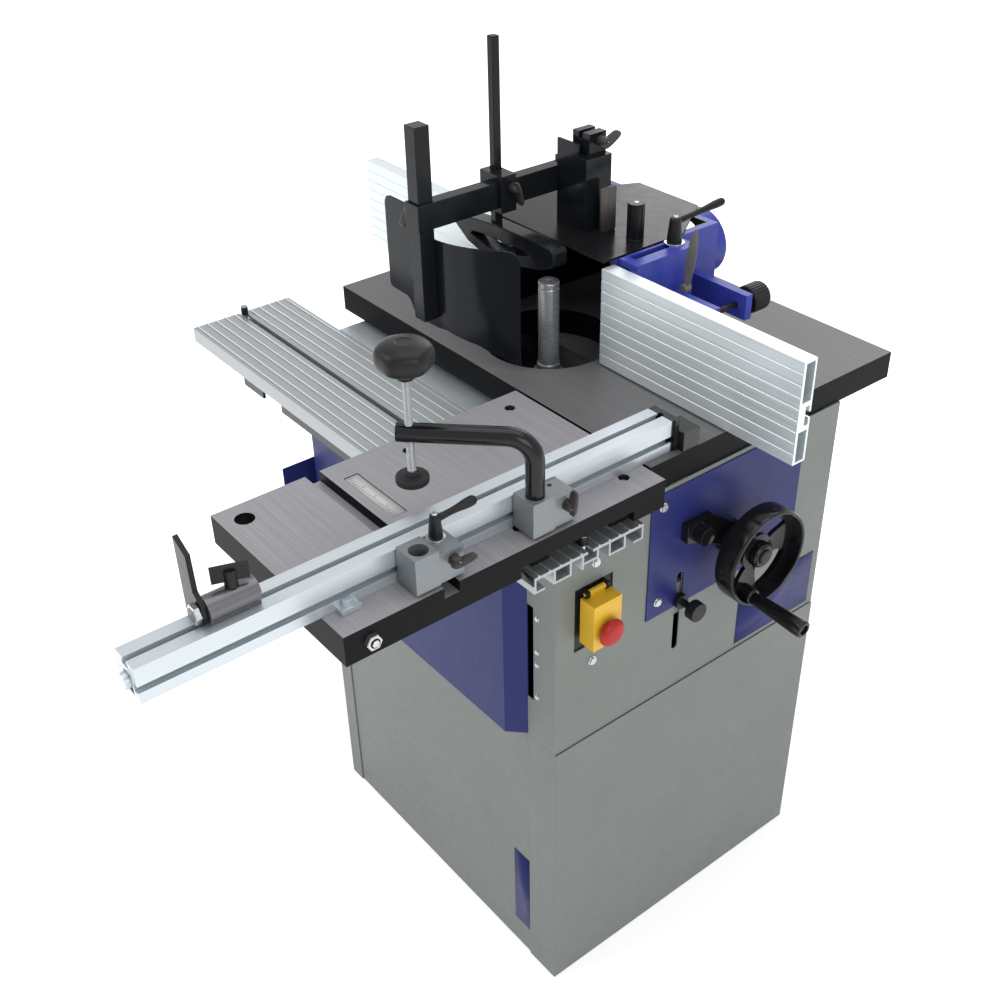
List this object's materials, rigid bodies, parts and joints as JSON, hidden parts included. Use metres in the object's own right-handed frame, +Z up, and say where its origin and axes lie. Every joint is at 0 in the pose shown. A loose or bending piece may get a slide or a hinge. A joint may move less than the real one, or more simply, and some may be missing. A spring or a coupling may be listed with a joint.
{
  "type": "spindle moulder",
  "caption": "Floor-standing spindle moulder: sheet cabinet, iron table with a vertical spindle, split fence with hood and guard, sliding table with mitre fence and hold-down.",
  "frame": {"origin": "centre of the cabinet's footprint, on the floor", "axes": "+X along the feed, to the handwheel side; +Y away from the operator, to the fence; +Z up"},
  "size_m": [0.9615, 1.122, 1.2604],
  "materials": {
    "grey_green_paint": "satin",
    "navy_paint": "satin",
    "blue_paint": "gloss",
    "table_iron": "satin",
    "slide_iron": "satin",
    "cast_iron_raw": "matt",
    "motor_paint": "satin",
    "extrusion": "satin",
    "plated_steel": "bright",
    "ground_steel": "bright",
    "rubber": "matt",
    "black_plastic": "satin",
    "gloss_black": "gloss",
    "yellow_plastic": "satin",
    "red_plastic": "satin",
    "green_plastic": "satin",
    "black_paint": "gloss"
  },
  "bodies": {
    "root": {"cabinet_base": "grey_green_paint", "cabinet_left": "grey_green_paint", "cabinet_right_lower": "grey_green_paint", "cabinet_right_upper": "grey_green_paint", "cabinet_rear": "grey_green_paint", "cabinet_front": "grey_green_paint", "front_cover": "navy_paint", "table_frame": "grey_green_paint", "main_table": "table_iron", "track_beam": "extrusion", "track_rails": "extrusion", "control_panel": "navy_paint", "fixings": "plated_steel", "switch_box": "black_plastic", "shaft_bearing": "black_paint", "hood_body": "blue_paint", "hood_top": "black_paint", "guard_column": "black_paint", "outfeed_bracket": "blue_paint", "slide_column": "cast_iron_raw"},
    "carriage": {"spindle_carriage": "cast_iron_raw", "spindle_bearings": "plated_steel", "motor": "motor_paint", "drive_belt": "rubber"},
    "spindle": {"spindle_arbor": "ground_steel"},
    "motor_rotor": {"motor_pulley": "plated_steel"},
    "lock_knob": {"height_lock_knob": "black_plastic"},
    "screw": {"lift_screw": "ground_steel"},
    "wheel": {"handwheel": "gloss_black", "handwheel_shaft": "ground_steel"},
    "crank_handle": {"handwheel_handle": "black_plastic"},
    "flap": {"switch_cover": "yellow_plastic"},
    "stop_button": {"stop_button": "red_plastic"},
    "start_button": {"start_button": "green_plastic"},
    "cross_table": {"sliding_table": "slide_iron", "slide_fittings": "black_paint"},
    "fence": {"mitre_fence": "extrusion"},
    "clamp": {"clamp_block": "extrusion"},
    "clamp_wing": {"clamp_wing": "black_plastic"},
    "clamp_arm": {"clamp_arm": "black_paint"},
    "clamp_pad": {"clamp_pad": "rubber"},
    "clamp_screw": {"clamp_screw": "plated_steel"},
    "stop": {"stop_body": "black_paint"},
    "stop_flag": {"stop_flag": "black_paint"},
    "stop_knob": {"stop_knob": "black_plastic"},
    "spare": {"spare_block": "extrusion"},
    "spare_lever": {"spare_lever": "black_plastic"},
    "spare_wing": {"spare_wing": "black_plastic"},
    "bar": {"guard_bar": "black_paint"},
    "shield": {"guard_shield": "black_paint"},
    "post_knob": {"post_knob": "black_plastic"},
    "shoe_clamp": {"shoe_block": "black_paint"},
    "shoe_knob": {"shoe_knob": "black_plastic"},
    "shoe": {"pressure_shoe": "black_paint"},
    "column_knob": {"column_knob": "black_plastic"},
    "infeed_plate": {"fence_right": "extrusion"},
    "outfeed_plate": {"fence_left": "extrusion"},
    "infeed": {"infeed_bracket": "blue_paint"},
    "fence_lever": {"fence_lever": "black_plastic"},
    "micro_screw": {"micro_knob": "black_plastic"}
  },
  "joints": [
    {"name": "spindle_height", "type": "slide", "parent": "root", "child": "carriage", "axis": [0, 0, 1], "range_m": [-0.08, 0.04]},
    {"name": "spindle_spin", "type": "hinge", "parent": "carriage", "child": "spindle", "pos_m": [-0.069, 0.026, 0.85], "axis": [0, 0, 1], "continuous": true},
    {"name": "motor_spin", "type": "hinge", "parent": "carriage", "child": "motor_rotor", "pos_m": [-0.199, 0.026, 0.588], "axis": [0, 0, 1], "continuous": true},
    {"name": "lock_turn", "type": "hinge", "parent": "carriage", "child": "lock_knob", "pos_m": [0.3, -0.041, 0.62], "axis": [1, 0, 0], "range_deg": [-180, 180]},
    {"name": "handwheel_turn", "type": "hinge", "parent": "root", "child": "wheel", "pos_m": [0.333, 0.0465, 0.685], "axis": [1, 0, 0], "range_deg": [-2880, 5760]},
    {"name": "screw_turn", "type": "hinge", "parent": "root", "child": "screw", "pos_m": [0.02, 0.0465, 0.6], "axis": [0, 0, 1], "range_deg": [-2880, 5760]},
    {"name": "handle_spin", "type": "hinge", "parent": "wheel", "child": "crank_handle", "pos_m": [0.349, 0.02423, 0.63253], "axis": [1, 0, 0], "continuous": true},
    {"name": "cover_open", "type": "hinge", "parent": "root", "child": "flap", "pos_m": [0.282, -0.192, 0.718], "axis": [0, -1, 0], "range_deg": [0, 95]},
    {"name": "stop_press", "type": "slide", "parent": "flap", "child": "stop_button", "axis": [-1, 0, 0], "range_m": [0, 0.004], "stiffness_N_per_m": 400, "springref_m": -0.001},
    {"name": "start_press", "type": "slide", "parent": "root", "child": "start_button", "axis": [-1, 0, 0], "range_m": [0, 0.003], "stiffness_N_per_m": 400, "springref_m": -0.001},
    {"name": "table_slide", "type": "slide", "parent": "root", "child": "cross_table", "axis": [1, 0, 0], "range_m": [-0.235, 0]},
    {"name": "mitre_turn", "type": "hinge", "parent": "cross_table", "child": "fence", "pos_m": [0.2655, -0.529, 0.85], "axis": [0, 0, 1], "range_deg": [-15, 15]},
    {"name": "clamp_slide", "type": "slide", "parent": "fence", "child": "clamp", "axis": [0, 1, 0], "range_m": [-0.03, 0.15]},
    {"name": "clamp_wing_turn", "type": "hinge", "parent": "clamp", "child": "clamp_wing", "pos_m": [0.28, -0.2575, 0.8783], "axis": [1, 0, 0], "range_deg": [-180, 180]},
    {"name": "clamp_swivel", "type": "hinge", "parent": "clamp", "child": "clamp_arm", "pos_m": [0.2833, -0.2915, 0.9], "axis": [0, 0, 1], "range_deg": [-60, 15]},
    {"name": "pad_travel", "type": "slide", "parent": "clamp_arm", "child": "clamp_pad", "axis": [0, 0, 1], "range_m": [-0.048, 0.03]},
    {"name": "clamp_screw_turn", "type": "hinge", "parent": "clamp_pad", "child": "clamp_screw", "pos_m": [0.18713, -0.38767, 0.95], "axis": [0, 0, 1], "range_deg": [-8640, 5400]},
    {"name": "stop_slide", "type": "slide", "parent": "fence", "child": "stop", "axis": [0, 1, 0], "range_m": [-0.08, 0.12]},
    {"name": "stop_flip", "type": "hinge", "parent": "stop", "child": "stop_flag", "pos_m": [0.2405, -0.672, 0.9075], "axis": [0, 1, 0], "range_deg": [0, 90]},
    {"name": "stop_knob_turn", "type": "hinge", "parent": "stop", "child": "stop_knob", "pos_m": [0.2405, -0.64, 0.921], "axis": [0, 0, 1], "range_deg": [-180, 180]},
    {"name": "spare_slide", "type": "slide", "parent": "fence", "child": "spare", "axis": [0, 1, 0], "range_m": [-0.04, 0.02]},
    {"name": "spare_lever_turn", "type": "hinge", "parent": "spare", "child": "spare_lever", "pos_m": [0.2693, -0.417, 0.9], "axis": [0, 0, 1], "range_deg": [-60, 60]},
    {"name": "spare_wing_turn", "type": "hinge", "parent": "spare", "child": "spare_wing", "pos_m": [0.28, -0.415, 0.8783], "axis": [1, 0, 0], "range_deg": [-180, 180]},
    {"name": "bar_slide", "type": "slide", "parent": "root", "child": "bar", "axis": [0, 1, 0], "range_m": [-0.02, 0.008]},
    {"name": "shield_height", "type": "slide", "parent": "bar", "child": "shield", "axis": [0, 0, 1], "range_m": [-0.005, 0.011]},
    {"name": "post_knob_turn", "type": "hinge", "parent": "bar", "child": "post_knob", "pos_m": [-0.145, -0.14, 1.057], "axis": [1, 0, 0], "range_deg": [-180, 180]},
    {"name": "shoe_block_slide", "type": "slide", "parent": "bar", "child": "shoe_clamp", "axis": [0, 1, 0], "range_m": [-0.02, 0.008]},
    {"name": "shoe_knob_turn", "type": "hinge", "parent": "shoe_clamp", "child": "shoe_knob", "pos_m": [-0.108, -0.0055, 1.0694], "axis": [1, 0, 0], "range_deg": [-180, 180]},
    {"name": "shoe_height", "type": "slide", "parent": "shoe_clamp", "child": "shoe", "axis": [0, 0, 1], "range_m": [-0.1, 0.02]},
    {"name": "column_knob_turn", "type": "hinge", "parent": "root", "child": "column_knob", "pos_m": [-0.06, 0.109, 1.1189], "axis": [1, 0, 0], "range_deg": [-180, 180]},
    {"name": "infeed_adjust", "type": "slide", "parent": "root", "child": "infeed", "axis": [0, 1, 0], "range_m": [-0.005, 0.02]},
    {"name": "micro_turn", "type": "hinge", "parent": "root", "child": "micro_screw", "pos_m": [0.133, 0.2, 0.925], "axis": [0, 1, 0], "range_deg": [-1200, 4800]},
    {"name": "fence_right_slide", "type": "slide", "parent": "infeed", "child": "infeed_plate", "axis": [1, 0, 0], "range_m": [-0.04, 0.04]},
    {"name": "fence_left_slide", "type": "slide", "parent": "root", "child": "outfeed_plate", "axis": [1, 0, 0], "range_m": [-0.04, 0.04]},
    {"name": "fence_lever_turn", "type": "hinge", "parent": "root", "child": "fence_lever", "pos_m": [0.049, 0.1475, 1], "axis": [0, 0, 1], "range_deg": [-90, 30]}
  ],
  "couplings": [
    {"joint": "spindle_height", "follows": "handwheel_turn", "m_per_rad": -0.00079577},
    {"joint": "screw_turn", "follows": "handwheel_turn", "ratio": 1},
    {"joint": "motor_spin", "follows": "spindle_spin", "ratio": 0.38461},
    {"joint": "pad_travel", "follows": "clamp_screw_turn", "m_per_rad": 0.00031831}
  ]
}
